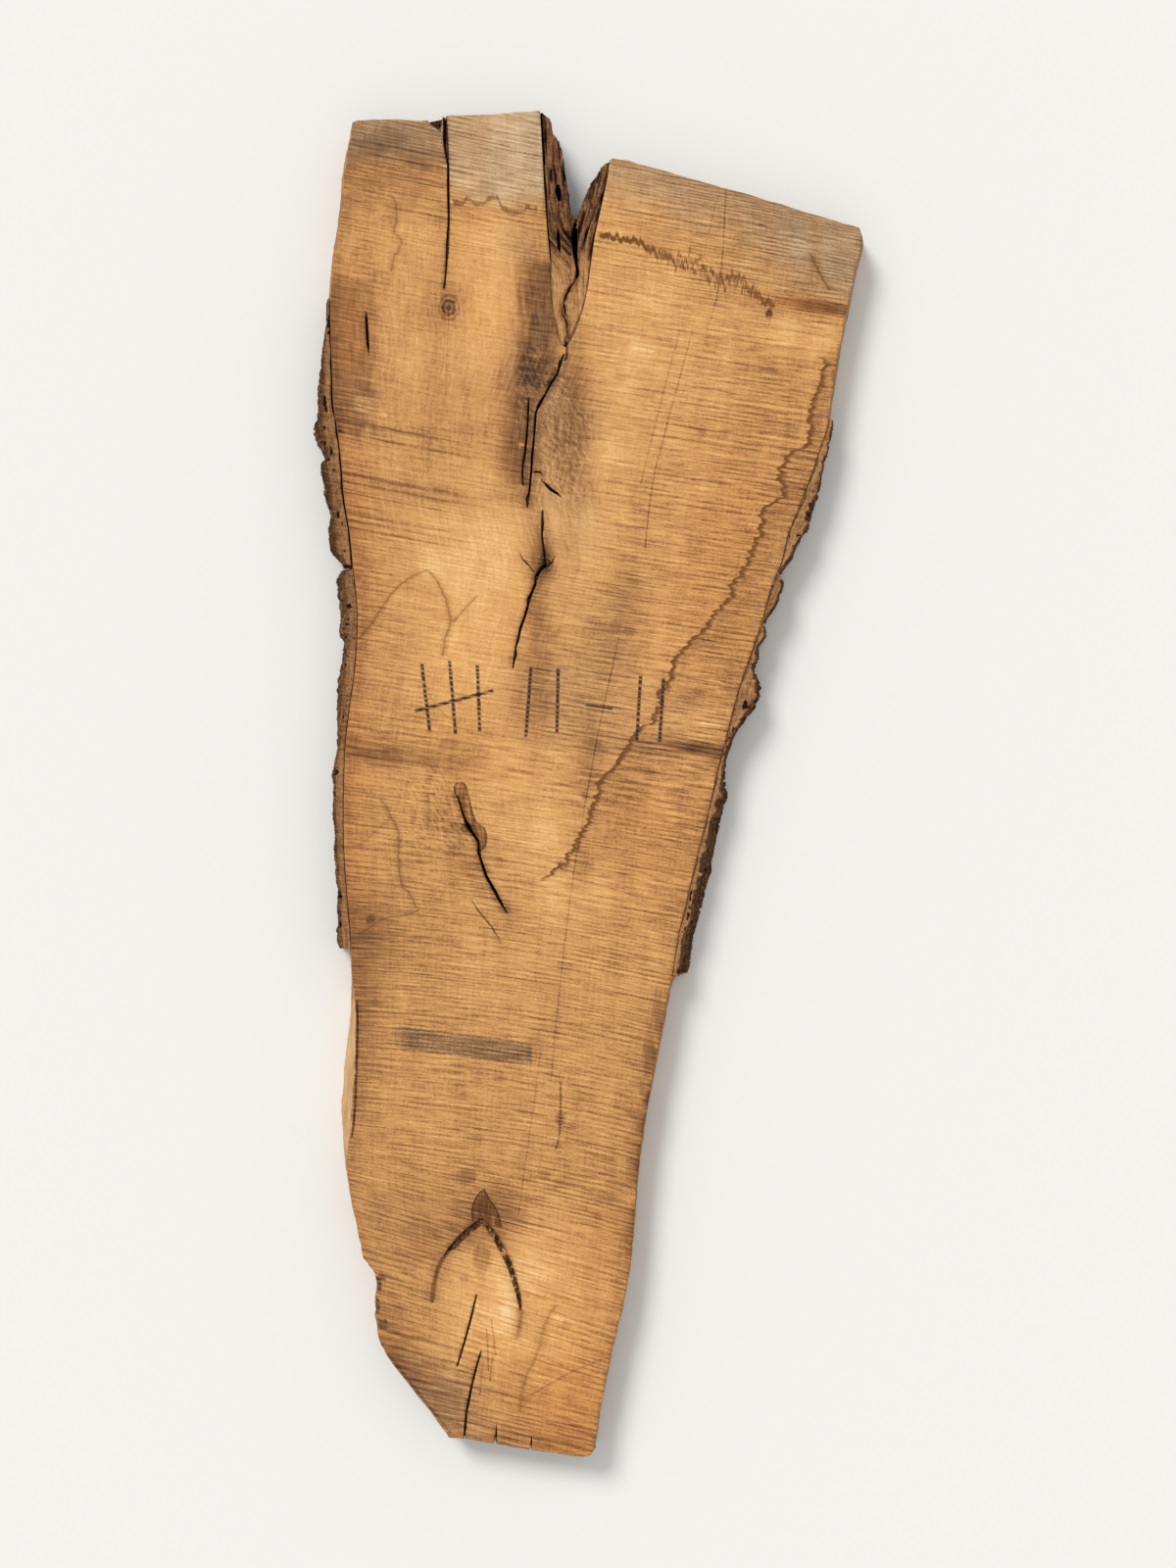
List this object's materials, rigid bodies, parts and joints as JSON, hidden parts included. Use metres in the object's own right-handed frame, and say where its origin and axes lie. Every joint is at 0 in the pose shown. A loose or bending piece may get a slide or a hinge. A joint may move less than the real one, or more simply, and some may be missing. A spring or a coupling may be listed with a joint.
{
  "type": "live edge pecan slab",
  "caption": "Rough-sawn live edge hardwood slab cut through a forked trunk, with strips of bark on its edges, bark grown into the fork, and drying splits.",
  "frame": {"origin": "under the middle of the slab's bounding box, on the wider sawn face that it lies on", "axes": "+Y along the grain towards the forked end, +Z out of the narrower sawn face that shows, +X across the slab towards the right limb"},
  "size_m": [0.8296, 1.9937, 0.057],
  "materials": {
    "sawn_wood": "rough sawn, unfinished, weathered golden tan with brown water stains",
    "bark": "rough furrowed outside, sawn flush on both faces"
  },
  "bodies": {
    "root": {"wood": "sawn_wood", "bark_fork": "bark", "bark_left_upper": "bark", "bark_left_lower": "bark", "bark_right_upper": "bark", "bark_right_middle": "bark", "bark_right_lower": "bark"}
  },
  "joints": []
}
